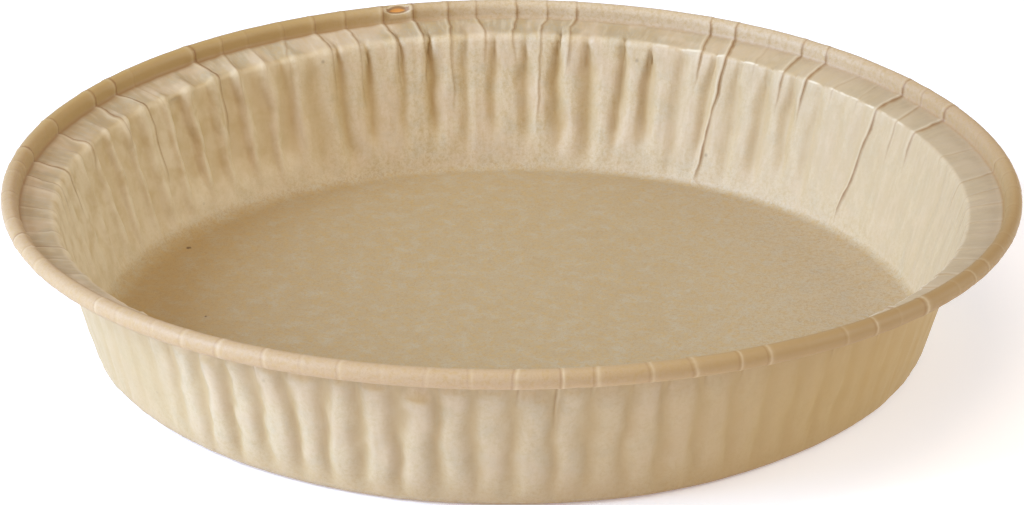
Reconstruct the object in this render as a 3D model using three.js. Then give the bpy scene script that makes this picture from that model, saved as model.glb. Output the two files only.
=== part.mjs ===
// A round paper baking mould: one disc of greaseproof paper, drawn into a shallow dish.
// The wall takes up its spare paper in upright flutes, the narrow flange in pleats pressed
// flat, and the edge is rolled outwards into a hollow curl.
// Millimetres, +Z up. The origin is the centre of the underside of the floor.

import * as THREE from "three";

// Driving dimensions
const height = 34.6; // underside of the floor to the top of the curl
const paperThickness = 0.35;
const floorDiameter = 168; // flat part of the floor
const heelRadius = 2.2; // floor to wall, at the middle of the paper
const shoulderDiameter = 187.8; // where the wall breaks into the flange
const rimReach = 11.1; // that break out to the outside of the curl
const shoulderDrop = 5.3; // top of the curl down to that break
const shoulderRadius = 1.1;
const flangeRise = 1.6; // from the break out to the foot of the curl
const curlDiameter = 3.5; // outside of the roll
const curlWrap = 325; // degrees of roll past the upright inner side
const curlTighten = 0.5; // how much smaller the roll is at its free end

// Flutes and pleats
const fluteCount = 80;
const fluteDepth = 1.05; // mean, outwards from the line of the crests
const fluteSwing = 0.5; // share by which the depth grows at front and back and falls at the sides
const fluteSwingAngle = 5; // degrees that this pattern is turned from the X axis
const fluteUnevenness = 0.22; // share by which one flute may differ from the next
const fluteFootHeight = 5; // height of the foot of the flutes over the underside
const fluteFootShare = 0.4; // depth of a flute at its foot, as a share of its depth at the top
const fluteHeadGap = 1.6; // from the shoulder down to the full depth of the flutes
const fluteShoulderShare = 0.25; // what is left of that depth where the shoulder starts
const pleatStep = 0.26; // step where a pleat is folded flat
const pleatStepWidth = 0.4; // run of that step round the rim
const pleatShoulderShare = 0.6; // height of that step at the shoulder, as a share of its height at the rim
const pleatDrift = 0.18; // how far a pleat may lie from the middle of its flute, as a share of a flute
const rimLift = 0.95; // front and back of the rim stand this much high, the sides this much low

// Facets
const columnsPerFlute = 6;
const heelFacets = 2;
const curlFacets = 6;

// Worked out from the sizes above
const halfPaper = paperThickness / 2;
const pitch = (2 * Math.PI) / fluteCount;
const rimRadius = shoulderDiameter / 2 + rimReach;
const curlRadius = curlDiameter / 2 - halfPaper;
const curlCentre = new THREE.Vector2(rimRadius - curlDiameter / 2, height - curlDiameter / 2);
const shoulder = new THREE.Vector2(shoulderDiameter / 2, height - shoulderDrop);
const curlFoot = new THREE.Vector2(curlCentre.x - curlRadius, shoulder.y + flangeRise);

// The numbers that keep the unevenness of the flutes' depth and of the pleats' places apart
const depthSalt = 1;
const pleatSalt = 3;

// A number from -1 to 1 that belongs to one flute and stays the same at every build.
function unevenness(flute, salt) {
  const wave = Math.sin((flute + 1) * 12.9898 + salt * 78.233) * 43758.5453;
  return 2 * (wave - Math.floor(wave)) - 1;
}

// A station is one point of the section through the middle of the paper: its place, the
// way that the upper face looks, how much of the flutes and pleats it shows, and its columns.
function station(point, facing, columns, flutes = 0, pleats = 0) {
  return { point, facing: facing.clone().normalize(), columns, flutes, pleats };
}

// The angle from the floor's line at which the wall leaves the heel, in radians.
function wallAngle() {
  const heelCentre = new THREE.Vector2(floorDiameter / 2, halfPaper + heelRadius);
  const across = new THREE.Vector2().subVectors(shoulder, heelCentre);
  return Math.atan2(across.y, across.x) + Math.asin(heelRadius / across.length());
}

function floorStations() {
  const up = new THREE.Vector2(0, 1);
  const edge = new THREE.Vector2(floorDiameter / 2, halfPaper);
  return [station(edge, up, plainColumns())];
}

// The arc from the floor up to the wall.
function heelStations(turn) {
  const centre = new THREE.Vector2(floorDiameter / 2, halfPaper + heelRadius);
  const made = [];
  for (let i = 1; i <= heelFacets; i++) {
    const angle = (turn * i) / heelFacets;
    const inwards = new THREE.Vector2(-Math.sin(angle), Math.cos(angle));
    const point = centre.clone().addScaledVector(inwards, -heelRadius);
    made.push(station(point, inwards, pleatColumns()));
  }
  return made;
}

// The straight wall between the heel and the shoulder, where the flutes are.
function wallStations(turn) {
  const along = new THREE.Vector2(Math.cos(turn), Math.sin(turn));
  const inwards = new THREE.Vector2(-along.y, along.x);
  const pointAt = (z) => shoulder.clone().addScaledVector(along, (z - shoulder.y) / along.y);
  const head = shoulder.clone().addScaledVector(along, -shoulderRadius - fluteHeadGap);
  return [
    station(pointAt(fluteFootHeight), inwards, fluteColumns(), fluteFootShare),
    station(head, inwards, fluteColumns(), 1),
  ];
}

// The turn from the wall to the flange, and the flange out to the foot of the curl.
function flangeStations(turn) {
  const wall = new THREE.Vector2(Math.cos(turn), Math.sin(turn));
  const flange = new THREE.Vector2().subVectors(curlFoot, shoulder).normalize();
  const faceOf = (way) => new THREE.Vector2(-way.y, way.x);
  const low = shoulder.clone().addScaledVector(wall, -shoulderRadius);
  const high = shoulder.clone().addScaledVector(flange, shoulderRadius);
  const upright = new THREE.Vector2(-1, 0);
  return [
    station(low, faceOf(wall), pleatColumns(), fluteShoulderShare),
    station(high, faceOf(flange), pleatColumns(), 0, pleatShoulderShare),
    station(curlFoot, faceOf(flange).add(upright), pleatColumns(), 0, 1),
  ];
}

// The roll: up the inner side, over the top, down outside and back in underneath.
function curlStations() {
  const made = [];
  for (let i = 0; i <= curlFacets; i++) {
    const share = i / curlFacets;
    const angle = Math.PI - THREE.MathUtils.degToRad(curlWrap) * share;
    const radius = curlRadius - curlTighten * share * share;
    const outwards = new THREE.Vector2(Math.cos(angle), Math.sin(angle));
    const point = curlCentre.clone().addScaledVector(outwards, radius);
    made.push(station(point, outwards, pleatColumns(), 0, 1));
  }
  return made;
}

// Columns are the angles round the dish at which a station has its vertices.
function plainColumns() {
  return Array.from({ length: fluteCount }, (_, i) => ({ angle: i * pitch, phase: 0, flute: i }));
}

// Two columns to a pleat, close together, on the low and the high side of its step.
function pleatColumns() {
  const halfStep = pleatStepWidth / 2 / rimRadius;
  const made = [];
  for (let i = 0; i < fluteCount; i++) {
    const centre = (i + 0.5 + pleatDrift * unevenness(i, pleatSalt)) * pitch;
    made.push({ angle: centre - halfStep, phase: 0.5, flute: i, raised: 0 });
    made.push({ angle: centre + halfStep, phase: 0.5, flute: i, raised: 1 });
  }
  return made;
}

function fluteColumns() {
  const made = [];
  for (let i = 0; i < fluteCount; i++) {
    for (let k = 0; k < columnsPerFlute; k++) {
      const phase = k / columnsPerFlute;
      made.push({ angle: (i + phase) * pitch, phase, flute: i });
    }
  }
  return made;
}

// How deep the flutes are round the dish, in millimetres.
function depthOfFlute(column) {
  const turned = column.angle - THREE.MathUtils.degToRad(fluteSwingAngle);
  const swing = 1 - fluteSwing * Math.cos(2 * turned);
  const own = 1 + fluteUnevenness * unevenness(column.flute, depthSalt);
  const wave = (1 - Math.cos(2 * Math.PI * column.phase)) / 2;
  return fluteDepth * swing * own * wave;
}

// The rim of a thin paper dish isn't quite flat: the lift grows with height up the wall.
function liftAt(z, angle) {
  const share = THREE.MathUtils.clamp((z - heelRadius) / (height - heelRadius), 0, 1);
  return -rimLift * share * Math.cos(2 * angle);
}

// The vertices of one station on one face of the paper: side is 1 for the upper face.
function ringOf(at, side) {
  return at.columns.map((column) => {
    const pleat = at.pleats * pleatStep * ((column.raised ?? 0) - 0.5);
    const across = side * halfPaper + pleat - at.flutes * depthOfFlute(column);
    const place = at.point.clone().addScaledVector(at.facing, across);
    return {
      angle: column.angle,
      x: place.x * Math.cos(column.angle),
      y: place.x * Math.sin(column.angle),
      z: place.y + liftAt(at.point.y, column.angle),
    };
  });
}

// Joins a chain of rings, from one point on the axis to another, into one closed surface.
function closedSurface(firstPoint, rings, lastPoint) {
  const positions = [];
  const triangles = [];
  const add = (v) => positions.push(v.x, v.y, v.z) / 3 - 1;
  const first = add(firstPoint);
  const chain = rings.map((ring) => ring.map((v) => ({ angle: v.angle, index: add(v) })));
  const last = add(lastPoint);
  fan(chain[0], first, triangles, false);
  for (let i = 1; i < chain.length; i++) zip(chain[i - 1], chain[i], triangles);
  fan(chain[chain.length - 1], last, triangles, true);
  const geometry = new THREE.BufferGeometry();
  geometry.setAttribute("position", new THREE.Float32BufferAttribute(positions, 3));
  geometry.setIndex(triangles);
  geometry.computeVertexNormals();
  return geometry;
}

function fan(ring, centre, triangles, flipped) {
  ring.forEach((v, i) => {
    const next = ring[(i + 1) % ring.length];
    triangles.push(...(flipped ? [centre, next.index, v.index] : [centre, v.index, next.index]));
  });
}

// Fills the band between two rings, always stepping along the ring whose next vertex comes first.
function zip(inner, outer, triangles) {
  const at = (ring, i) => ring[i % ring.length];
  const turnOf = (ring, i) => at(ring, i).angle + (i >= ring.length ? 2 * Math.PI : 0);
  let i = 0;
  let j = 0;
  while (i < inner.length || j < outer.length) {
    const stepInner =
      j >= outer.length || (i < inner.length && turnOf(inner, i + 1) <= turnOf(outer, j + 1));
    const a = at(inner, i).index;
    const b = at(outer, j).index;
    if (stepInner) triangles.push(a, b, at(inner, ++i).index);
    else triangles.push(a, b, at(outer, ++j).index);
  }
}

function bakingMould() {
  const turn = wallAngle();
  const section = [
    ...floorStations(),
    ...heelStations(turn),
    ...wallStations(turn),
    ...flangeStations(turn),
    ...curlStations(),
  ];
  const upperFace = section.map((at) => ringOf(at, 1));
  const lowerFace = section.map((at) => ringOf(at, -1)).reverse();
  const centreOfFloor = { x: 0, y: 0, z: paperThickness };
  const centreOfUnderside = { x: 0, y: 0, z: 0 };
  const paper = new THREE.MeshStandardMaterial({ color: 0xcfb48a, roughness: 0.62, metalness: 0 });
  const mould = new THREE.Mesh(
    closedSurface(centreOfFloor, [...upperFace, ...lowerFace], centreOfUnderside),
    paper,
  );
  mould.name = "paper_mould";
  return mould;
}

const bakingDish = new THREE.Group();
bakingDish.add(bakingMould());

export default bakingDish;
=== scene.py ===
import math

import bpy
from mathutils import Matrix, Vector


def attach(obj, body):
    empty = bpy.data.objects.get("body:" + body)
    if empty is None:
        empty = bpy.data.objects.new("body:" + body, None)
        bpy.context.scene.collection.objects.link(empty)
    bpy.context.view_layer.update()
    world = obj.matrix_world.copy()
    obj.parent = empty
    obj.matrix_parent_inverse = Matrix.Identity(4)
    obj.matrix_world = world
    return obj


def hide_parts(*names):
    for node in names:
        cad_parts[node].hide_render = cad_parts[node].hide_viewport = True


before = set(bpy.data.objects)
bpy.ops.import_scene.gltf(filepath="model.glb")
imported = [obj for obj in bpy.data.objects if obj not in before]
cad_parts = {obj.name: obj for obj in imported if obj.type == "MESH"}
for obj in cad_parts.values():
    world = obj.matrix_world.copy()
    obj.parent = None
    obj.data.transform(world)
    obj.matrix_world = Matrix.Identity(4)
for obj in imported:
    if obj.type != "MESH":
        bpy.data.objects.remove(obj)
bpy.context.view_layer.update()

# A round paper baking mould. One sheet of brown greaseproof paper is drawn into a shallow
# dish: flat floor, fluted wall, narrow flange with pressed pleats, and a rolled rim.
# Metres throughout. Angles run anticlockwise from the right of the picture, and the pleats
# are numbered the same way.

MM = 0.001

# A noise node stays near its middle. This factor spreads it from about -1 to 1.
NOISE_SPREAD = 3.2

# The mould's sizes
PAPER = 0.35 * MM
HEIGHT = 34.6 * MM
FLOOR_RADIUS = 84.0 * MM
HEEL_RADIUS = 2.2 * MM
LEFT_HEEL_RADIUS = 5.0 * MM
SHOULDER_RADIUS = 94.0 * MM
SHOULDER_DROP = 5.3 * MM
SHOULDER_BEND = 2.3 * MM
SHARP_SHOULDER_BEND = 1.1 * MM
RIM_RADIUS = 105.0 * MM
FLANGE_RISE = 1.6 * MM
ROLL_DIAMETER = 3.5 * MM
ROLL_BEND = 0.45 * MM
ROLL_WRAP = math.radians(325)
ROLL_TIGHTEN = 0.5 * MM
FRONT_ROLL_SWELL = 0.3 * MM

# How finely the sheet is divided: the columns go round it and the rows from its middle out.
# The nudge keeps a column that lies on a pleat's line from falling to the pleat before it.
PLEATS = 80
COLUMNS_PER_PLEAT = 13
SEAM_NUDGE = 0.0001
ROWS = {"floor": 4, "heel": 5, "wall": 15, "shoulder": 3, "flange": 5, "bend": 2, "roll": 12}

# Pleats that show more than the rest. Each line gives the pleat's number, how strong its fold is,
# how far the fold runs down the wall as a share of the wall, and how far its line stands off its
# place at the foot of the wall, at the shoulder and at the roll, in pleats.
MARKED_PLEATS = [
    (5, 1.2, 0.2, 0.2, -0.05, 0.02),
    (7, 1.3, 0.9, 0.62, 0.0, 0.1),
    (8, 0.5, 0.0, 0.0, 0.0, 0.1),
    (10, 1.1, 0.25, 0.2, 0.12, 0.2),
    (11, 1.1, 0.2, 0.0, 0.0, 0.06),
    (12, 0.6, 0.0, 0.0, 0.1, 0.17),
    (13, 1.4, 0.95, 0.6, 0.05, 0.27),
    (14, 1.1, 0.15, 0.1, -0.04, 0.07),
    (15, 0.1, 0.0, 0.0, 0.0, 0.0),
    (17, 0.2, 0.0, 0.0, 0.0, 0.0),
    (18, 0.9, 0.2, 0.3, 0.2, 0.09),
    (19, 0.8, 0.6, 0.15, 0.1, -0.06),
    (20, 0.9, 0.12, -0.1, -0.1, -0.16),
    (21, 0.9, 0.1, 0.1, -0.2, 0.02),
    (22, 1.0, 0.45, -0.1, -0.1, -0.18),
    (23, 1.3, 0.3, -0.3, -0.3, -0.16),
    (24, 1.1, 0.3, -0.45, -0.4, -0.27),
    (25, 0.8, 0.4, -0.2, -0.2, -0.13),
    (26, 0.9, 0.3, -0.2, -0.3, -0.2),
    (30, 1.8, 0.4, -0.3, -0.3, -0.16),
    (33, 1.9, 0.55, -0.35, -0.2, 0.06),
    (34, 1.4, 0.2, 0.0, 0.0, 0.04),
    (36, 1.6, 0.1, 0.2, 0.2, 0.25),
    (38, 1.9, 0.28, 0.1, 0.25, 0.31),
    (39, 1.4, 0.2, 0.2, 0.3, 0.32),
    (41, 1.8, 0.0, 0.3, 0.3, 0.37),
    (44, 1.9, 0.3, -0.1, 0.1, 0.27),
]

# The small tear in the roll, at the back. Its row is counted from the start of the roll.
TEAR_ANGLE = math.radians(104.8)
TEAR_HALF_LENGTH = 2.9 * MM
TEAR_ROW = 1.5
TEAR_DEPTH = 0.9 * MM
TEAR_LIP = 0.3 * MM

# Two dark specks in the floor: right of the axis, behind it, and how wide
SPECKS = [(-70.9 * MM, 39.6 * MM, 1.1 * MM), (-64.5 * MM, 2.5 * MM, 0.7 * MM)]

# A pleat that isn't marked has its own fold, run and line, drawn between these. The folds of the
# front pleats are stronger: the four numbers say where that starts, is full, fades and ends.
PLAIN_FOLD = (0.15, 0.75)
PLAIN_RUN = (-0.1, 0.3)
PLAIN_FOOT = (-0.16, 0.16)
PLAIN_SHOULDER = (-0.16, 0.16)
PLAIN_RIM = (-0.25, 0.25)
ROLL_SWAY = (-0.14, 0.14)
FRONT_PLEATS = (49, 52, 72, 75)
FRONT_FOLD = 0.35
WALL_WANDER = 0.1
FLANGE_WANDER = 0.05

# Across a fold, in pleats: where the doubled paper thins out, and where the lip stands. The line's
# sharpness is how steeply it fades, and a strong fold takes some of it away.
LAP_FADE = (0.08, 0.36)
LIP_PLACE = 0.1
LIP_WIDTH = 0.07
LIP_ON_ROLL = 0.16
LINE_SHARPNESS = 32
STRONG_FOLD_SOFTENS = 11

# The flutes in the wall. Where there are two numbers, each flute has its own value between them.
FLUTE_HEADS = (-1.0 * MM, 1.6 * MM)
FRONT_HEADS_LOWER = 2.6 * MM
POINTED_HEAD = 9 * MM
ROUND_HEAD = 2.2 * MM
HEAD_WIDTH = 0.2
FLUTE_WIDTHS = (0.68, 1.0)
FLUTE_FEET = (-1.5 * MM, 4.5 * MM)
FLUTE_FOOT_RUN = 8 * MM
FLUTE_DEPTHS = (0.5, 1.35)
FRONT_FLUTE_DEPTH = 1.2
SIDE_DEPTH = 0.32
FRONT_AND_BACK_DEPTH = 0.68
LEFT_DEPTH = 0.55
SMOOTH_SIDE_LOSS = 0.8
FRONT_RIGHT_LOSS = 0.62
FOOT_SHARE = 0.75
FLUTE_DRIFT = 0.16
KINK_SIZE = 5 * MM
KINK = 0.09
FRONT_KINK = 0.05

# How much further out the foot of the wall stands at the front, and its top at the left
FRONT_FOOT_REACH = 1.5 * MM
LEFT_TOP_REACH = 0.1 * MM

# The rim isn't flat. Once, twice and three times round it rises and falls by these shares of
# the rim lift.
RIM_ONCE = 0.8
RIM_TWICE_SKEW = 0.19
RIM_THRICE = 0.13

# The paper's colours, and the colours of the painted light and shade laid over them
PAPER_COLOURS = {
    # Painted shade: the floor's tan is darker than the wall's tan above it, for the floor that
    # faces up
    "shaded floor tan": (0.39, 0.278, 0.145, 1),
    "wall tan": (0.61, 0.465, 0.28, 1),
    # Painted shade: the flange, which faces up, is darker and greyer than the wall
    "pressed": (0.37, 0.26, 0.137, 1),
    "rim tan": (0.465, 0.31, 0.165, 1),
    "warm": (0.44, 0.27, 0.08, 1),
    # A dark brown for the paper's own fibres, and for painted shade on the roll and the outer wall
    "fibre and shade brown": (0.34, 0.20, 0.07, 1),
    "brown": (0.26, 0.12, 0.035, 1),
    "orange": (0.60, 0.25, 0.05, 1),
    "dark": (0.12, 0.06, 0.02, 1),
    # A pale cream for the painted highlight along the right shoulder
    "light": (0.82, 0.70, 0.50, 1),
    "pale": (0.70, 0.56, 0.36, 1),
    "rosy": (0.53, 0.39, 0.22, 1),
    "pink": (0.62, 0.44, 0.28, 1),
    "grey": (0.42, 0.36, 0.25, 1),
    # Painted shade for the flange at the right
    "right flange shade": (0.31, 0.225, 0.12, 1),
}
PAPER_IOR = 1.46
PAPER_ROUGHNESS = 0.46
CLOUD_ROUGHNESS = 0.2
RELIEF_STRENGTH = 0.3
RELIEF_DEPTH = 0.06 * MM
FIBRE_SHARPNESS = 16
SPECK_SHARPNESS = 26
SPECK_RAGGEDNESS = 1.6 * MM

# The studio: the ground, the world's light and the soft boxes. Each box has its name, its azimuth
# and elevation in degrees, its power and its colour. Azimuth 0 is the camera's side, 90 its right.
GROUND_REACH = 6.0
GROUND_DROP = 0.1 * MM
GROUND_GREY = (0.9, 0.9, 0.9, 1)
GROUND_GLOW = (1.0, 0.9, 0.95, 1)
GROUND_GLOW_STRENGTH = 0.26
WORLD_COLOUR = (0.90, 0.84, 1.0, 1)
WORLD_STRENGTH = 0.36
BOX_DISTANCE = 1.1
BOX_SIZE = 0.6
SOFT_BOXES = [
    ("key", -73, 32, 21, (0.48, 0.68, 1.0)),
    ("front", -30, 32, 2.6, (1.0, 0.94, 0.82)),
    ("fill", 90, 32, 6.4, (0.86, 1.0, 1.0)),
    ("top", 0, 85, 3.0, (1.0, 0.78, 0.50)),
]

CAMERA_DISTANCE = 0.7966
CAMERA_ELEVATION = math.radians(21.64)
CAMERA_AIM_BELOW = math.radians(1.146)
CAMERA_ROLL = math.radians(0.27)
CAMERA_LENS = 135.5
CAMERA_SENSOR = 36
RIM_HEIGHT = 32.85 * MM


# A formula is a value that changes over the sheet. Its arithmetic is written into the tree
# of nodes that it belongs to.
class Formula:
    def __init__(self, tree, socket):
        self.tree = tree
        self.socket = socket

    def math(self, operation, *others):
        node = self.tree.nodes.new("ShaderNodeMath")
        node.operation = operation
        for place, value in zip(node.inputs, (self, *others)):
            plug(self.tree, place, value)
        return Formula(self.tree, node.outputs[0])

    def __add__(self, other):
        return self.math("ADD", other)

    def __radd__(self, other):
        return self.math("ADD", other)

    def __sub__(self, other):
        return self.math("SUBTRACT", other)

    def __rsub__(self, other):
        return (self * -1).math("ADD", other)

    def __mul__(self, other):
        return self.math("MULTIPLY", other)

    def __rmul__(self, other):
        return self.math("MULTIPLY", other)

    def __truediv__(self, other):
        return self.math("DIVIDE", other)

    def __rtruediv__(self, other):
        return (self ** -1) * other

    def __neg__(self):
        return self * -1

    def __pow__(self, power):
        return self.math("POWER", power)

    def sin(self):
        return self.math("SINE")

    def cos(self):
        return self.math("COSINE")

    def absolute(self):
        return self.math("ABSOLUTE")

    def floor(self):
        return self.math("FLOOR")

    def wrapped(self, low, high):
        return self.math("WRAP", high, low)

    def equals(self, number):
        return self.math("COMPARE", number, 0.5)

    def at_most(self, high):
        return self.math("MINIMUM", high)

    def clamped(self):
        return self.math("MAXIMUM", 0).math("MINIMUM", 1)

    def ramp(self, start, end):
        """0 before start, 1 after end, and a soft curve between them."""
        node = self.tree.nodes.new("ShaderNodeMapRange")
        node.interpolation_type = "SMOOTHSTEP"
        plug(self.tree, node.inputs["Value"], self)
        plug(self.tree, node.inputs["From Min"], start)
        plug(self.tree, node.inputs["From Max"], end)
        return Formula(self.tree, node.outputs["Result"])

    def between(self, start, full, fade, end):
        """Rises from start to full and falls from fade to end."""
        return self.ramp(start, full) * (1 - self.ramp(fade, end))

    def hump(self, width):
        """1 where the formula is 0, and nothing more than width away from there."""
        return (1 - (self / width).absolute()).ramp(0, 1)


def plug(tree, place, value):
    if isinstance(value, Formula):
        tree.links.new(value.socket, place)
    elif isinstance(value, bpy.types.NodeSocket):
        tree.links.new(value, place)
    else:
        place.default_value = value


def blend(first, second, share):
    return first + (second - first) * share


def point(tree, x, y, z):
    node = tree.nodes.new("ShaderNodeCombineXYZ")
    for place, value in zip(node.inputs, (x, y, z)):
        plug(tree, place, value)
    return node.outputs[0]


def noise(tree, place, size, detail=1.0, seed=0.0):
    """Soft unevenness from about -1 to 1 with lumps of that size."""
    node = tree.nodes.new("ShaderNodeTexNoise")
    node.noise_dimensions = "4D"
    plug(tree, node.inputs["Vector"], place)
    node.inputs["W"].default_value = seed
    node.inputs["Scale"].default_value = 1 / size
    node.inputs["Detail"].default_value = detail
    return (Formula(tree, node.outputs[0]) - 0.5) * NOISE_SPREAD


def own_number(tree, number, low, high, seed):
    """A value from low to high that belongs to one pleat or one flute."""
    node = tree.nodes.new("FunctionNodeRandomValue")
    node.data_type = "FLOAT"
    floats = [s for s in node.inputs if s.type == "VALUE"]
    floats[0].default_value = low
    floats[1].default_value = high
    plug(tree, node.inputs["ID"], number)
    node.inputs["Seed"].default_value = seed
    return Formula(tree, next(s for s in node.outputs if s.type == "VALUE"))


def number_inputs(tree, values):
    """Names the tree's number inputs, gives them their values, and returns them as formulas."""
    for name, value in values.items():
        place = tree.interface.new_socket(name, in_out="INPUT", socket_type="NodeSocketFloat")
        place.default_value = value
    entry = tree.nodes.new("NodeGroupInput")
    return {name: Formula(tree, entry.outputs[name]) for name in values}


def number_outputs(tree, values):
    """Names the tree's number outputs and gives them their formulas."""
    for name in values:
        tree.interface.new_socket(name, in_out="OUTPUT", socket_type="NodeSocketFloat")
    leave = tree.nodes.new("NodeGroupOutput")
    for name, value in values.items():
        plug(tree, leave.inputs[name], value)


# The section through the middle of the paper

def section_cuts(heel, bend):
    """The turn of the wall and of the flange, and how long the straight stretches are."""
    shoulder = Vector((SHOULDER_RADIUS, HEIGHT - SHOULDER_DROP))
    sharp_heel = Vector((FLOOR_RADIUS, PAPER / 2 + HEEL_RADIUS))
    roll_radius = (ROLL_DIAMETER - PAPER) / 2
    roll_height = HEIGHT - ROLL_DIAMETER / 2
    foot = Vector((RIM_RADIUS - ROLL_DIAMETER / 2 - roll_radius, shoulder.y + FLANGE_RISE))
    across = shoulder - sharp_heel
    wall_turn = math.atan2(across.y, across.x) + math.asin(HEEL_RADIUS / across.length)
    flange_turn = math.atan2(foot.y - shoulder.y, foot.x - shoulder.x)
    corner = Vector((FLOOR_RADIUS + HEEL_RADIUS * math.tan(wall_turn / 2), PAPER / 2))
    heel_cut = heel * math.tan(wall_turn / 2)
    shoulder_cut = bend * math.tan((wall_turn - flange_turn) / 2)
    roll_cut = ROLL_BEND * math.tan((math.pi / 2 - flange_turn) / 2)
    return {
        "wall turn": wall_turn,
        "flange turn": flange_turn,
        "floor length": corner.x - heel_cut,
        "wall length": (shoulder - corner).length - heel_cut - shoulder_cut,
        "flange length": (foot - shoulder).length - roll_cut - shoulder_cut,
        "upright length": roll_height - foot.y - roll_cut,
        "roll radius": roll_radius,
    }


def straight(step, length, turn):
    return step * (length * math.cos(turn)), step * (length * math.sin(turn)), 0.0


def arc(step, radius, start, end):
    """A bend of that radius from one turn to another, as step goes from 0 to 1."""
    way = 1 if end > start else -1
    turn = step * (end - start) + start
    run = (turn.sin() - math.sin(start)) * (radius * way)
    rise = (turn.cos() - math.cos(start)) * (radius * -way)
    return run, rise, step * (end - start)


def roll(step, radius, tighten, wrap):
    """The rolled edge: over the top, down outside and back in underneath, ever tighter."""
    angle = step * -wrap + math.pi
    reach = step * step * -tighten + radius
    return angle.cos() * reach + radius, angle.sin() * reach, step * -wrap


def steps_of(row):
    """How far each stretch of the section is done at a row, from 0 to 1."""
    steps = {}
    first = 0
    for name, count in ROWS.items():
        steps[name] = ((row - first) / count).clamped()
        first += count
    return steps


def section(steps, heel, bend):
    """The distance from the axis, the height and the turn of the paper at each row."""
    cuts = section_cuts(heel, bend)
    wall, flange, upright = cuts["wall turn"], cuts["flange turn"], math.pi / 2
    stretches = [
        straight(steps["floor"], cuts["floor length"], 0),
        arc(steps["heel"], heel, 0, wall),
        straight(steps["wall"], cuts["wall length"], wall),
        arc(steps["shoulder"], bend, wall, flange),
        straight(steps["flange"], cuts["flange length"], flange),
        arc(steps["bend"], ROLL_BEND, flange, upright),
        straight(steps["bend"], cuts["upright length"], upright),
        roll(steps["roll"], cuts["roll radius"], ROLL_TIGHTEN, ROLL_WRAP),
    ]
    reach, height, turn = (sum(parts[1:], parts[0]) for parts in zip(*stretches))
    return reach, height + PAPER / 2, turn


# One pleat: the line that its fold follows up the wall, over the flange and round the roll

def pleat_group():
    tree = bpy.data.node_groups.new("pleat line", "GeometryNodeTree")
    start = dict.fromkeys(("Number", "Wall", "Flange", "Roll"), 0.0)
    number, wall, flange, rolled = number_inputs(tree, start).values()
    number = number.wrapped(0, PLEATS)

    front = number.between(*FRONT_PLEATS)
    fold = own_number(tree, number, *PLAIN_FOLD, seed=22) + front * FRONT_FOLD
    run = own_number(tree, number, *PLAIN_RUN, seed=21)
    foot = own_number(tree, number, *PLAIN_FOOT, seed=23)
    shoulder = own_number(tree, number, *PLAIN_SHOULDER, seed=24)
    rim = own_number(tree, number, *PLAIN_RIM, seed=25)
    for place, *marks in MARKED_PLEATS:
        here = number.equals(place)
        fold, run, foot, shoulder, rim = (
            blend(own, mark, here) for own, mark in zip((fold, run, foot, shoulder, rim), marks))
    end = rim + own_number(tree, number, *ROLL_SWAY, seed=26)
    along = point(tree, number * 3.7, wall * 3 + flange * 1.6 + rolled * 2, 0)
    wander = noise(tree, along, 0.8, 1, seed=4.0) * blend(WALL_WANDER, FLANGE_WANDER, flange)
    shift = blend(blend(blend(foot, shoulder, wall), rim, flange), end, rolled) + wander
    fold = fold * (0.8 + noise(tree, along, 0.35, 1, seed=7.0) * 0.4).clamped()
    number_outputs(tree, {"Shift": shift, "Fold": fold, "Run": run})
    return tree


def pleat(tree, group, number, steps):
    node = tree.nodes.new("GeometryNodeGroup")
    node.node_tree = group
    plug(tree, node.inputs["Number"], number)
    for name in ("Wall", "Flange", "Roll"):
        plug(tree, node.inputs[name], steps[name.lower()])
    return {name: Formula(tree, node.outputs[name]) for name in ("Shift", "Fold", "Run")}


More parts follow.
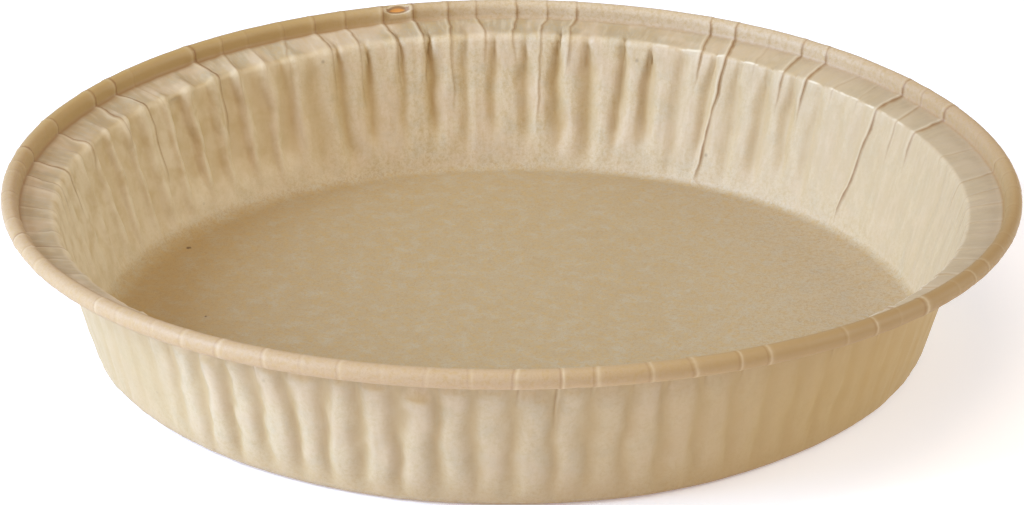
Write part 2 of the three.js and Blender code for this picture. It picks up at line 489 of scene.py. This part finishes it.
def paper_sheet(paper):
    """The tree that draws the sheet: a grid, rolled round the axis and shaped row by row."""
    tree = bpy.data.node_groups.new("drawn paper sheet", "GeometryNodeTree")
    tree.interface.new_socket("Geometry", in_out="OUTPUT", socket_type="NodeSocketGeometry")
    tree.interface.new_socket("Geometry", in_out="INPUT", socket_type="NodeSocketGeometry")
    sizes = number_inputs(tree, {
        "Flute depth": 1.25 * MM,
        "Fold height": 0.35 * MM,
        "Rim lift": 0.95 * MM,
        "Crumple": 0.16 * MM,
        "Wrinkle": 0.1 * MM,
    })
    rows = sum(ROWS.values())
    grid = tree.nodes.new("GeometryNodeMeshGrid")
    grid.inputs["Size X"].default_value = 1
    grid.inputs["Size Y"].default_value = 1
    grid.inputs["Vertices X"].default_value = PLEATS * COLUMNS_PER_PLEAT + 1
    grid.inputs["Vertices Y"].default_value = rows + 1
    place = tree.nodes.new("GeometryNodeInputPosition")
    apart = tree.nodes.new("ShaderNodeSeparateXYZ")
    tree.links.new(place.outputs[0], apart.inputs[0])
    around = (Formula(tree, apart.outputs["X"]) + 0.5) * PLEATS + SEAM_NUDGE
    row = (Formula(tree, apart.outputs["Y"]) + 0.5) * rows
    steps = steps_of(row)

    # Columns stand closer where a fold is, and lean with the two folds beside them
    number = around.floor()
    share = around - number
    share = share - (share * (2 * math.pi)).sin() * (0.5 / (2 * math.pi))
    group = pleat_group()
    before = pleat(tree, group, number, steps)
    after = pleat(tree, group, number + 1, steps)
    shift = blend(before["Shift"], after["Shift"], share) * steps["heel"]
    angle = (number + share + shift) * (2 * math.pi / PLEATS)

    # The torn place is a narrow dent between two rows of the roll, with raised lips
    tear_along = (angle - TEAR_ANGLE) * (RIM_RADIUS / TEAR_HALF_LENGTH)
    tear_across = row - (rows - ROWS["roll"] + TEAR_ROW)
    torn = 1 - tear_along ** 2 - (tear_across * 0.8) ** 2
    dent = torn.ramp(0.0, 0.3)
    lip = torn.between(-1.6, -0.6, -0.3, 0.0)

    heel = blend(HEEL_RADIUS, LEFT_HEEL_RADIUS, (angle.cos() * -1).ramp(0.2, 0.95))
    bend = blend(SHOULDER_BEND, SHARP_SHOULDER_BEND, angle.cos().ramp(0.15, 0.6))
    reach, height, turn = section(steps, heel, bend)

    bulge, valley = flutes(tree, angle, height, steps, sizes)
    lap, line, beside = folds(share, before, after, steps)
    calm = 1 - steps["bend"] * 0.7
    rough = unevenness(tree, angle, row, reach, height, steps, sizes) * steps["heel"] * calm
    swell = (angle.sin() * -1).ramp(0.2, 0.9) * steps["roll"].ramp(0.02, 0.2) * FRONT_ROLL_SWELL
    outwards = bulge - lap * sizes["Fold height"] + rough - swell
    outwards = outwards + dent * TEAR_DEPTH - lip * TEAR_LIP

    out = reach + turn.sin() * outwards + oval(angle, steps)
    lifted = (height / HEIGHT).ramp(0, 1)
    wave = -(angle * 2).cos() - (angle * 2).sin() * RIM_TWICE_SKEW
    wave = wave - (angle * 3).cos() * RIM_THRICE - angle.cos() * RIM_ONCE
    top = height - turn.cos() * outwards + wave * sizes["Rim lift"] * lifted
    shaped = point(tree, angle.cos() * out, angle.sin() * out, top)

    # The climb counts the stretches that are passed: 1 at the top of the heel, 2 at the top of the
    # wall, 3 at the end of the shoulder, 4 at the end of the flange and 5 at the paper's edge
    stretches = ("heel", "wall", "shoulder", "flange", "roll")
    masks = {
        "valley": valley,
        "crease": line,
        # The lip beside each fold, for its pale line: painted highlight with paler stretched fibres
        "lap": beside,
        "torn": torn.math("MAXIMUM", -3),
        # Where the flange turns up into the roll: the mask for painted shade under the roll
        "gutter": steps["flange"].ramp(0.85, 1.0) * (1 - steps["bend"].ramp(0.0, 0.6)),
        "climb": sum((steps[name] for name in stretches[1:]), steps[stretches[0]]),
    }
    sheet = kept_on_sheet(tree, grid.outputs["Mesh"], masks)
    move = tree.nodes.new("GeometryNodeSetPosition")
    tree.links.new(sheet, move.inputs["Geometry"])
    plug(tree, move.inputs["Position"], shaped)
    finish_sheet(tree, move.outputs["Geometry"], paper)
    return tree


def flutes(tree, angle, height, steps, sizes):
    """The wall's flutes: how far each place is pushed outwards, and how deep in a valley it is."""
    ring = point(tree, angle.cos(), angle.sin(), height * 8)
    left = (angle.cos() * -1).ramp(0.3, 0.75)
    front = (angle.sin() * -1).ramp(-0.1, 0.4)
    own, near = flute_line(tree, angle, height, ring)
    head = own_number(tree, own, *FLUTE_HEADS, seed=29) - front * FRONT_HEADS_LOWER
    head = head + (HEIGHT - SHOULDER_DROP)
    depth = flute_depth(tree, own, angle, ring, left, front)
    shape = flute_valley(tree, own, near, head - height, left, front)
    shape = shape * flute_length(tree, own, height, head, front)
    shape = shape * steps["heel"] * (1 - steps["flange"].ramp(0.2, 0.9))
    return shape * depth * sizes["Flute depth"], shape * depth.at_most(1)


def flute_line(tree, angle, height, ring):
    """The number of the flute at a place, and how near its valley is: 1 on it, 0 on the crests."""
    wall = (angle.cos() * SHOULDER_RADIUS, angle.sin() * SHOULDER_RADIUS, height * 1.4)
    kinks = noise(tree, point(tree, *wall), KINK_SIZE, 1, seed=5.0)
    kinks = kinks * (KINK + (angle.sin() * -1).ramp(0.5, 0.9) * FRONT_KINK)
    drift = noise(tree, ring, 0.1, 1, seed=2.0) * FLUTE_DRIFT + kinks
    phase = angle * (PLEATS / (2 * math.pi)) - 0.5 + drift
    number = (phase + 0.5).floor()
    return number.wrapped(0, PLEATS), 1 - ((phase - number).absolute() * 2).clamped()


def flute_valley(tree, own, near, below, left, front):
    """The section of a flute. Behind it comes to a point at its head, in front it is round."""
    below = (below / blend(POINTED_HEAD, ROUND_HEAD, front)).ramp(0, 1)
    widest = own_number(tree, own, *FLUTE_WIDTHS, seed=30)
    width = blend(blend(HEAD_WIDTH, widest, below), 0.5 + below * 0.5, front)
    valley = near.ramp(1 - width, 1.0 - front * 0.2)
    return blend(valley, near.ramp(0, 0.5), left * (1 - front))


def flute_depth(tree, own, angle, ring, left, front):
    """How deep the flutes are round the dish: most at the back and front, least at the right."""
    across = angle.sin()
    facing = across.absolute().ramp(0.55, 0.85)
    strong = SIDE_DEPTH + facing * FRONT_AND_BACK_DEPTH * (1 - left * 0.5) + left * LEFT_DEPTH
    smooth_side = across.between(-0.8, -0.6, 0.0, 0.15) * (angle.cos() * -1).ramp(0, 0.3)
    front_right = front * angle.cos().ramp(0.3, 0.6)
    uneven = blend(own_number(tree, own, *FLUTE_DEPTHS, seed=27), FRONT_FLUTE_DEPTH, front * 0.6)
    depth = strong * (1 - smooth_side * SMOOTH_SIDE_LOSS) * (1 - front_right * FRONT_RIGHT_LOSS)
    depth = depth * uneven
    return depth * (1 + noise(tree, ring, 0.4, 1, seed=6.0) * 0.3)


def flute_length(tree, own, height, head, front):
    """1 between a flute's foot and its head, less beyond them."""
    foot = own_number(tree, own, *FLUTE_FEET, seed=28) * (1 - front * 0.8)
    begun = height.ramp(foot, foot + FLUTE_FOOT_RUN) * blend(FOOT_SHARE, 1.0, height / HEIGHT)
    end = head + blend(2.4 * MM, 0.8 * MM, front)
    return begun * (1 - height.ramp(head - 1.8 * MM, end) * 0.85)


def folds(share, before, after, steps):
    """Where the paper lies double beside a pleat's line, the line itself, and the lip beside it."""
    on_roll = steps["roll"].ramp(0.0, 0.15)

    def shown(fold, softness=0.15):
        """How much of a fold shows at a row: nothing below the end of its run."""
        run_end = 1 - fold["Run"]
        run = steps["wall"].ramp(run_end - softness, run_end + softness)
        return run * fold["Fold"] * steps["heel"]

    def line_at(distance, fold):
        """The line where the paper turns under, darker in colour: partly the paper's own darker
        fold, partly painted shade in the crease. A stronger fold has a wider one.
        """
        sharpness = LINE_SHARPNESS - fold["Fold"].at_most(1.3) * STRONG_FOLD_SOFTENS
        return (1 - distance * sharpness).clamped() * shown(fold)

    lap = (1 - share.ramp(*LAP_FADE)) * shown(before, 0.12).at_most(1.1) * (1 - on_roll * 0.85)
    line = line_at(share, before) + line_at(1 - share, after)
    lip = (share - LIP_PLACE).hump(LIP_WIDTH) * shown(before).at_most(1)
    return lap + lip * on_roll * LIP_ON_ROLL, line * (1 - on_roll * 0.3), lip


def unevenness(tree, angle, row, reach, height, steps, sizes):
    """Fine upright wrinkles, most at the left and right, and the softness of pressed paper."""
    ring = (angle.cos() * SHOULDER_RADIUS, angle.sin() * SHOULDER_RADIUS)
    upright = point(tree, *ring, row * (0.3 * MM))
    sides = 0.4 + angle.cos().absolute().ramp(0.4, 0.95) * (steps["shoulder"] * 0.3 + 0.9)
    wrinkle = noise(tree, upright, 2.0 * MM, 1, seed=3.0) * sizes["Wrinkle"] * sides
    plain = point(tree, angle.cos() * reach, angle.sin() * reach, height)
    return wrinkle + noise(tree, plain, 8 * MM, 2, seed=9.0) * sizes["Crumple"]


def oval(angle, steps):
    """The dish isn't quite round: its foot stands further out in front, its top at the left."""
    front = (angle.sin() * -1).ramp(-0.1, 0.5) * (1 - angle.cos().ramp(0.25, 0.75))
    foot = steps["heel"].ramp(0.0, 0.25) * (1 - steps["wall"])
    top_left = (angle.cos() * -1).ramp(0.3, 1.0) * steps["wall"] * (1 - steps["flange"])
    return front * foot * FRONT_FOOT_REACH + top_left * LEFT_TOP_REACH


def finish_sheet(tree, geometry, paper):
    """Closes the seam and the middle of the floor, and gives the sheet its paper."""
    merge = tree.nodes.new("GeometryNodeMergeByDistance")
    merge.inputs["Distance"].default_value = 0.01 * MM
    smooth = tree.nodes.new("GeometryNodeSetShadeSmooth")
    realize = tree.nodes.new("GeometryNodeRealizeInstances")
    dress = tree.nodes.new("GeometryNodeSetMaterial")
    dress.inputs["Material"].default_value = paper
    for node in (merge, smooth, realize, dress):
        tree.links.new(geometry, node.inputs["Geometry"])
        geometry = node.outputs["Geometry"]
    leave = tree.nodes.new("NodeGroupOutput")
    tree.links.new(geometry, leave.inputs["Geometry"])


def kept_on_sheet(tree, sheet, masks):
    """Stores the masks on the sheet's points, for the paper's colour."""
    last = sheet
    for name, value in masks.items():
        store = tree.nodes.new("GeometryNodeStoreNamedAttribute")
        store.data_type = "FLOAT"
        store.domain = "POINT"
        store.inputs["Name"].default_value = name
        plug(tree, next(s for s in store.inputs if s.name == "Value" and s.enabled), value)
        tree.links.new(last, store.inputs["Geometry"])
        last = store.outputs["Geometry"]
    return last


# The paper

def fibre_group():
    """Short fibres lying every way in the paper, soft clouds in its mass, and dark specks."""
    tree = bpy.data.node_groups.new("paper fibres", "ShaderNodeTree")
    sizes = {"Fibre size": 0.8 * MM, "Cloud size": 4 * MM, "Speck spacing": 16 * MM}
    fibre_size, cloud_size, speck_spacing = number_inputs(tree, sizes).values()
    where = tree.nodes.new("ShaderNodeTexCoord").outputs["Object"]

    def lumps(size, detail, distortion):
        node = tree.nodes.new("ShaderNodeTexNoise")
        tree.links.new(where, node.inputs["Vector"])
        plug(tree, node.inputs["Scale"], size ** -1)
        node.inputs["Detail"].default_value = detail
        node.inputs["Distortion"].default_value = distortion
        return Formula(tree, node.outputs[0])

    ridge = (lumps(fibre_size * 1.6, 1.0, 2.2) - 0.5).absolute() * FIBRE_SHARPNESS
    specks = tree.nodes.new("ShaderNodeTexVoronoi")
    tree.links.new(where, specks.inputs["Vector"])
    plug(tree, specks.inputs["Scale"], speck_spacing ** -1)
    away = Formula(tree, specks.outputs["Distance"])
    number_outputs(tree, {
        "Fibre": (1 - ridge).clamped(),
        "Grain": lumps(fibre_size, 3.0, 0.0),
        "Cloud": lumps(cloud_size, 3.0, 0.2),
        "Patch": lumps(cloud_size * 2.2, 2.0, 0.4),
        "Speck": (1 - away * SPECK_SHARPNESS).clamped(),
    })
    return tree


def streak_group():
    """Narrow streaks that run up the wall and over the flange, as drawn paper shows them."""
    tree = bpy.data.node_groups.new("drawn streaks", "ShaderNodeTree")
    sizes = {"Streak width": 1.3 * MM, "Stretch": 4.5}
    streak_width, stretch = number_inputs(tree, sizes).values()
    apart = tree.nodes.new("ShaderNodeSeparateXYZ")
    tree.links.new(tree.nodes.new("ShaderNodeTexCoord").outputs["Object"], apart.inputs[0])
    x, y, z = (Formula(tree, out) for out in apart.outputs)
    reach = (x * x + y * y).math("SQRT")
    along = (z + reach) / stretch
    ring = SHOULDER_RADIUS / reach.math("MAXIMUM", MM)
    node = tree.nodes.new("ShaderNodeTexNoise")
    tree.links.new(point(tree, x * ring, y * ring, along), node.inputs["Vector"])
    plug(tree, node.inputs["Scale"], streak_width ** -1)
    node.inputs["Detail"].default_value = 2.0
    number_outputs(tree, {"Streak": Formula(tree, node.outputs[0])})
    return tree


def mixed(tree, share, first, second):
    node = tree.nodes.new("ShaderNodeMix")
    node.data_type = "RGBA"
    plug(tree, node.inputs["Factor"], share)
    colours = [s for s in node.inputs if s.type == "RGBA"]
    plug(tree, colours[0], first)
    plug(tree, colours[1], second)
    return next(s for s in node.outputs if s.type == "RGBA")


def sheet_mask(tree, name):
    node = tree.nodes.new("ShaderNodeAttribute")
    node.attribute_name = name
    return Formula(tree, node.outputs["Fac"])


def upper_side(tree):
    """1 on the side of the sheet that looks up and into the mould, 0 on the other side."""
    apart = tree.nodes.new("ShaderNodeSeparateXYZ")
    tree.links.new(tree.nodes.new("ShaderNodeNewGeometry").outputs["Normal"], apart.inputs[0])
    return Formula(tree, apart.outputs["Z"]).ramp(-0.12, 0.12)


def over_the_dish(tree):
    """How far a place lies to the right of the axis and behind it."""
    apart = tree.nodes.new("ShaderNodeSeparateXYZ")
    tree.links.new(tree.nodes.new("ShaderNodeTexCoord").outputs["Object"], apart.inputs[0])
    return Formula(tree, apart.outputs["X"]), Formula(tree, apart.outputs["Y"])


def paper_regions(tree, upper):
    """The parts of the sheet that look different, as masks made from its stretches and places."""
    # The climb is 1 where the wall starts, 2 at its top, 3 and 4 at either side of the flange
    climb = sheet_mask(tree, "climb")
    to_right, to_back = over_the_dish(tree)
    to_left, to_front = to_right * -1, to_back * -1
    roll = climb.ramp(3.9, 4.0)
    wall = climb.ramp(0.6, 1.4) * (1 - roll)
    past_shoulder = climb.ramp(2.3, 3.1)
    outside = (roll + 1 - upper).clamped()
    right_shoulder = to_right.ramp(20 * MM, 50 * MM) * (1 - to_right.ramp(80 * MM, 90 * MM))
    right_front = to_right.ramp(-10 * MM, 80 * MM) * to_front.ramp(-30 * MM, 40 * MM)
    soft_lines = wall * (1 - climb.ramp(2.2, 3.0)) * (1 - to_right.ramp(20 * MM, 50 * MM))
    return {
        "climb": climb,
        "floor": 1 - climb.ramp(0, 0.5),
        "floor right": to_right.ramp(20 * MM, 90 * MM) * (1 - climb.ramp(0, 1)),
        "floor left": to_left.ramp(45 * MM, 80 * MM) * (1 - climb.ramp(0.3, 1.2)),
        "wall": wall,
        "fluted": (1 - climb.ramp(2.6, 3.4)) * climb.ramp(0.6, 1.4),
        "wall left": to_left.ramp(20 * MM, 80 * MM) * upper * wall,
        "wall right": to_right.ramp(0, 80 * MM) * upper * wall,
        "wall outside": wall * (1 - upper),
        "soft lines": soft_lines,
        "shoulder line": climb.between(2.3, 2.6, 2.65, 2.95) * right_shoulder,
        "past shoulder": past_shoulder,
        "flange right": climb.between(2.6, 3.1, 3.9, 4.0) * to_right.ramp(50 * MM, 95 * MM),
        "left": to_left.ramp(0, 60 * MM),
        "roll": roll,
        "roll back": to_back.ramp(30 * MM, 90 * MM) * to_right.ramp(-50 * MM, 10 * MM) * roll,
        "roll left back": to_left.ramp(0, 60 * MM) * to_back.ramp(-20 * MM, 50 * MM) * roll,
        "roll behind": roll * to_back.ramp(-60 * MM, -20 * MM),
        "right front": right_front * outside,
    }


def paper_layers(tree, upper, fibres, streak):
    """What lies over the floor's tan, in order: how much of it at a place, and which colour. Many
    layers are painted light and painted shade.
    """
    at = paper_regions(tree, upper)
    # The hollows of the flutes, for their painted shade: on the outer side they lie behind the
    # inner crests, so there the mask is turned over
    valley = blend(1 - sheet_mask(tree, "valley"), sheet_mask(tree, "valley"), upper)
    crease, beside, torn, gutter = (
        sheet_mask(tree, name) for name in ("crease", "lap", "torn", "gutter"))
    fibre, grain, cloud, patch, speck = (
        fibres[name] for name in ("Fibre", "Grain", "Cloud", "Patch", "Speck"))
    edge_of_floor = at["climb"] + (cloud - 0.5) * 0.5
    streaky = at["wall"] * (0.5 + upper * 0.5)
    before_flange = 1 - at["past shoulder"]
    # Painted light on the left wall: paler all over, palest on the crests
    left_wall_painted_light = (0.42 + (1 - valley) * 0.4) * (1 - at["past shoulder"] * 0.8)
    layers = [
        # The floor keeps its darker tan, which is painted shade; the wall and all above it take the
        # wall's tan
        (edge_of_floor.ramp(0.15, 1.35), "wall tan"),
        # Painted light: the floor paler towards the right
        (at["floor right"] * 0.3, "pale"),
        # Painted shade: the floor's left edge darker and warmer, under the left wall
        (at["floor left"] * 0.4, "warm"),
        # Painted shade: the flange past the shoulder darker and greyer than the wall
        (at["past shoulder"], "pressed"),
        (at["roll"], "rim tan"),
        # Painted light: the back of the roll paler
        (at["roll back"] * 0.4, "pale"),
        (cloud.ramp(0.42, 0.7) * (0.35 - at["roll"] * 0.3), "grey"),
        (grain.ramp(0.42, 0.72) * (0.55 - at["wall"] * 0.22 - at["roll"] * 0.1), "warm"),
        (fibre * (0.55 - at["wall"] * 0.35 - at["roll"] * 0.3), "fibre and shade brown"),
        (patch.ramp(0.42, 0.62) * at["wall"] * 0.4, "pink"),
        (streak.ramp(0.5, 0.72) * streaky * 0.25, "warm"),
        (streak.ramp(0.5, 0.3) * streaky * 0.2, "pale"),
        # Painted shade: the flute hollows warmer and darker, as in shade with warm light bounced
        # into them
        (valley * at["fluted"] * 0.75, "warm"),
        # Painted light: the left wall paler, with pale crest lines
        (at["wall left"] * left_wall_painted_light, "pale"),
        (at["wall left"] * cloud.ramp(0.35, 0.8) * before_flange * 0.55, "warm"),
        (at["wall right"] * (0.5 + streak.ramp(0.35, 0.65) * 0.35), "rosy"),
        # Painted shade: the outer wall greyer and darker
        (at["wall outside"] * 0.3, "grey"),
        # Painted shade: the outer wall and roll at the front right and the roll at the back left,
        # warmer and darker on their shaded sides
        (at["right front"] * 0.75 + at["roll left back"] * 0.8, "warm"),
        ((at["right front"] * at["roll"] + at["roll left back"] * 0.3).clamped(), "fibre and shade brown"),
        # Painted highlight: a pale line along the shoulder at the right
        (at["shoulder line"] * cloud.ramp(0.4, 0.6) * 0.75, "light"),
        # Painted shade: the flange at the right darker and duller
        (at["flange right"] * 0.3, "right flange shade"),
        # Painted shade under the roll where it meets the flange, darkest at the left, with the
        # darker crease of the bend
        (gutter * (0.35 + at["left"] * 0.3), "brown"),
        # The pale lip beside a fold: painted highlight on its raised edge, with the paler stretched
        # fibres there
        (beside * (1 - at["roll behind"] * 0.6) * 0.5, "pale"),
        # The fold lines darker brown: partly the paper's own darker fold, partly painted shade in
        # the crease
        (crease.clamped() * (0.8 - at["soft lines"] * 0.35), "brown"),
        (torn.between(-0.9, -0.4, -0.3, 0.0) * 0.4, "pale"),
        (torn.ramp(-0.25, 0.05) * 0.85, "brown"),
        (torn.ramp(0.3, 0.6), "orange"),
    ]
    to_right, to_back = over_the_dish(tree)
    for right, back, size in SPECKS:
        away = ((to_right - right) ** 2 + (to_back - back) ** 2).math("SQRT")
        ragged = away + (grain - 0.5) * SPECK_RAGGEDNESS
        spot = 1 - ragged.ramp(size * 0.25, size * 0.6)
        layers.append((at["floor"] * spot * 0.8, "dark"))
    return layers + [(speck * 0.5, "dark")], at["wall"]


def group_outputs(tree, group):
    """Puts a shader group into the tree and returns what it gives, by name."""
    node = tree.nodes.new("ShaderNodeGroup")
    node.node_tree = group
    return {out.name: Formula(tree, out) for out in node.outputs}


def kraft_paper():
    """Brown greaseproof paper: tan, a little smooth, darker and warmer where it is creased, partly
    as painted shade, and with painted light and painted shade laid into its colour elsewhere.
    """
    material = bpy.data.materials.new("kraft paper")
    material.use_nodes = True
    tree = material.node_tree
    shader = tree.nodes["Principled BSDF"]
    fibres = group_outputs(tree, fibre_group())
    streak = group_outputs(tree, streak_group())["Streak"]

    layers, wall = paper_layers(tree, upper_side(tree), fibres, streak)
    colour = PAPER_COLOURS["shaded floor tan"]
    for share, name in layers:
        colour = mixed(tree, share, colour, PAPER_COLOURS[name])
    tree.links.new(colour, shader.inputs["Base Color"])
    roughness = PAPER_ROUGHNESS + fibres["Cloud"] * CLOUD_ROUGHNESS
    plug(tree, shader.inputs["Roughness"], roughness)
    shader.inputs["IOR"].default_value = PAPER_IOR

    bump = tree.nodes.new("ShaderNodeBump")
    bump.inputs["Strength"].default_value = RELIEF_STRENGTH
    bump.inputs["Distance"].default_value = RELIEF_DEPTH
    relief = fibres["Fibre"] * 0.3 + fibres["Grain"] * (1 - wall * 0.4) + streak * wall * 0.6
    plug(tree, bump.inputs["Height"], relief)
    tree.links.new(bump.outputs["Normal"], shader.inputs["Normal"])
    return material


# The mould as one mesh

def baking_mould():
    paper = kraft_paper()
    sheet = bpy.data.objects.new("rolled_rim_mould", bpy.data.meshes.new("paper sheet"))
    bpy.context.collection.objects.link(sheet)
    draw = sheet.modifiers.new("draw", "NODES")
    draw.node_group = paper_sheet(paper)
    for socket in draw.node_group.interface.items_tree:
        if socket.in_out == "INPUT" and socket.socket_type == "NodeSocketFloat":
            draw[socket.identifier] = socket.default_value
    freeze(sheet, draw)
    thicken = sheet.modifiers.new("thicken", "SOLIDIFY")
    thicken.thickness = PAPER
    thicken.offset = 0
    freeze(sheet, thicken)
    return sheet


def freeze(thing, modifier):
    """Makes the modifier's result the thing's own mesh."""
    shown = thing.evaluated_get(bpy.context.evaluated_depsgraph_get())
    made = bpy.data.meshes.new_from_object(shown)
    thing.modifiers.remove(modifier)
    thing.data = made


# The studio

def studio_floor():
    ways = [(-1, -1), (1, -1), (1, 1), (-1, 1)]
    corners = [(x * GROUND_REACH, y * GROUND_REACH, -GROUND_DROP) for x, y in ways]
    mesh = bpy.data.meshes.new("studio floor")
    mesh.from_pydata(corners, [], [(0, 1, 2, 3)])
    floor = bpy.data.objects.new("studio_floor", mesh)
    pale = bpy.data.materials.new("studio floor")
    pale.use_nodes = True
    shader = pale.node_tree.nodes["Principled BSDF"]
    shader.inputs["Base Color"].default_value = GROUND_GREY
    shader.inputs["Roughness"].default_value = 0.8
    shader.inputs["Emission Color"].default_value = GROUND_GLOW
    shader.inputs["Emission Strength"].default_value = GROUND_GLOW_STRENGTH
    # Seen from below the floor lets everything through, so that the mould's underside shows
    tree = pale.node_tree
    sheer = tree.nodes.new("ShaderNodeBsdfTransparent")
    both = tree.nodes.new("ShaderNodeMixShader")
    tree.links.new(tree.nodes.new("ShaderNodeNewGeometry").outputs["Backfacing"], both.inputs[0])
    tree.links.new(shader.outputs[0], both.inputs[1])
    tree.links.new(sheer.outputs[0], both.inputs[2])
    tree.links.new(both.outputs[0], tree.nodes["Material Output"].inputs["Surface"])
    mesh.materials.append(pale)
    bpy.context.collection.objects.link(floor)


def soft_light(name, azimuth, elevation, power, colour):
    """A square soft box that looks at the mould."""
    data = bpy.data.lights.new(name, "AREA")
    data.size = BOX_SIZE
    data.energy = power
    data.color = colour
    light = bpy.data.objects.new(name, data)
    a, e = math.radians(azimuth), math.radians(elevation)
    away = Vector((math.sin(a) * math.cos(e), -math.cos(a) * math.cos(e), math.sin(e)))
    light.location = away * BOX_DISTANCE
    light.rotation_euler = (-away).to_track_quat("-Z", "Y").to_euler()
    bpy.context.collection.objects.link(light)


def studio_world():
    world = bpy.data.worlds.new("studio")
    world.use_nodes = True
    background = world.node_tree.nodes["Background"]
    background.inputs["Color"].default_value = WORLD_COLOUR
    background.inputs["Strength"].default_value = WORLD_STRENGTH
    bpy.context.scene.world = world


def studio_camera():
    data = bpy.data.cameras.new("camera")
    data.sensor_width = CAMERA_SENSOR
    data.lens = CAMERA_LENS
    data.clip_start = 0.05
    data.clip_end = 20
    camera = bpy.data.objects.new("camera", data)
    back = Vector((0, -math.cos(CAMERA_ELEVATION), math.sin(CAMERA_ELEVATION)))
    place = Vector((0, 0, RIM_HEIGHT)) + back * CAMERA_DISTANCE
    tilt = math.pi / 2 - CAMERA_ELEVATION - CAMERA_AIM_BELOW
    turned = Matrix.Rotation(tilt, 4, "X") @ Matrix.Rotation(-CAMERA_ROLL, 4, "Z")
    camera.matrix_world = Matrix.Translation(place) @ turned
    bpy.context.collection.objects.link(camera)
    bpy.context.scene.camera = camera


mould = baking_mould()
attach(mould, "root")
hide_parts("paper_mould")

studio_floor()
studio_world()
for box in SOFT_BOXES:
    soft_light(*box)
studio_camera()
bpy.context.scene.view_settings.view_transform = "Standard"
